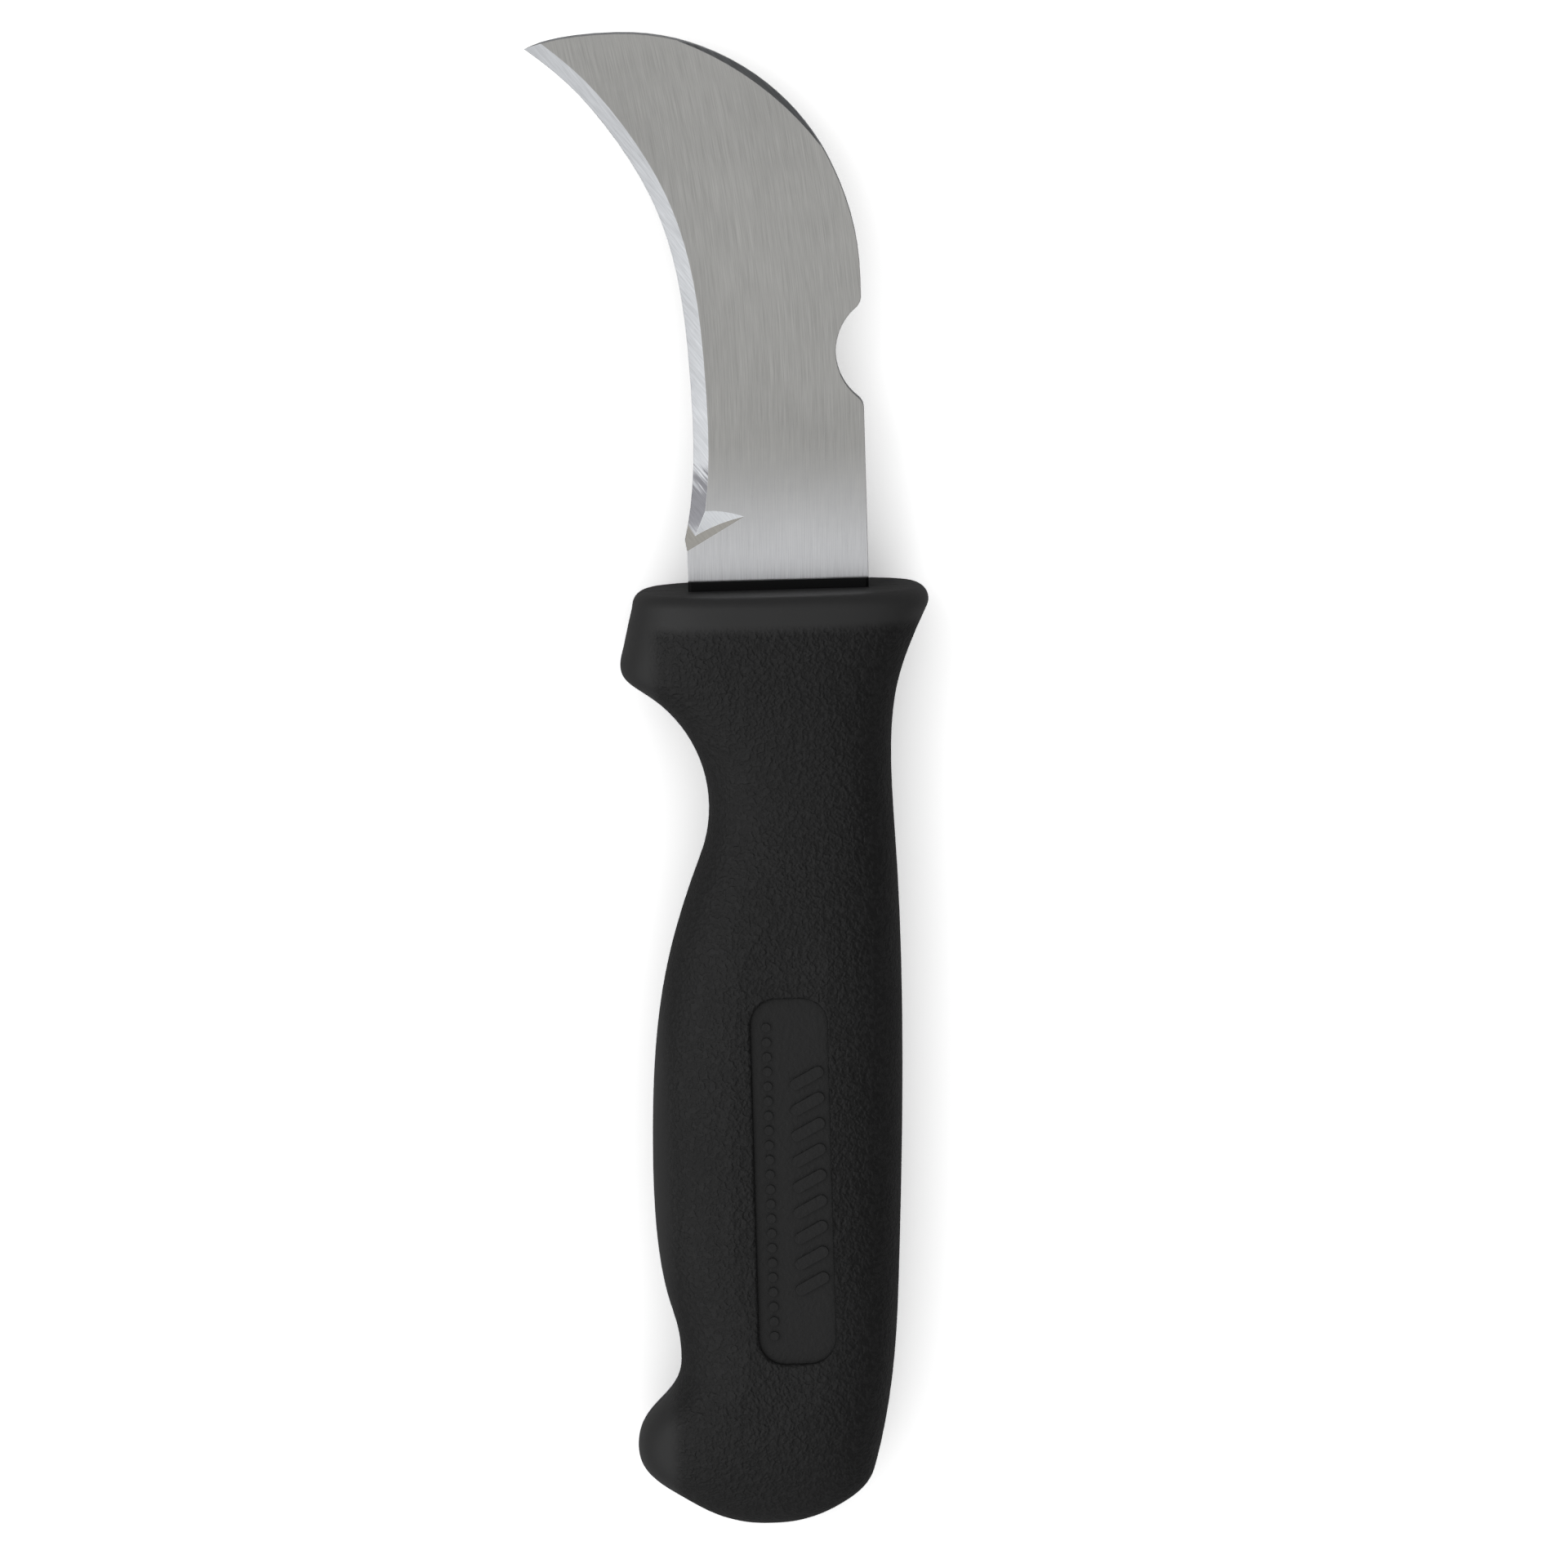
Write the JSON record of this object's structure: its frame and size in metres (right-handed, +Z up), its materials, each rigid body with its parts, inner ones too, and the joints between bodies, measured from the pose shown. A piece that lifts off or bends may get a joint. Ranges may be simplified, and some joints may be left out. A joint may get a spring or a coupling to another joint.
{
  "type": "hook knife",
  "caption": "Fixed-blade hook knife: concave hooked steel blade with a half-round notch in its spine, set in a textured black moulded handle with a finger guard.",
  "frame": {"origin": "on the plane of the grip's lower land, on the tang's centreline, under the palm swell", "axes": "+Y along the knife from butt to hook, +X from the cutting edge to the spine, +Z up out of the blade's flat"},
  "size_m": [0.0523, 0.2029, 0.0222],
  "materials": {
    "blade_steel": "satin, brushed along the blade",
    "hard_core": "smooth",
    "soft_grip": "matte, fine moulded grain"
  },
  "bodies": {
    "root": {"blade": "blade_steel", "core": "hard_core", "grip": "soft_grip"}
  },
  "joints": []
}
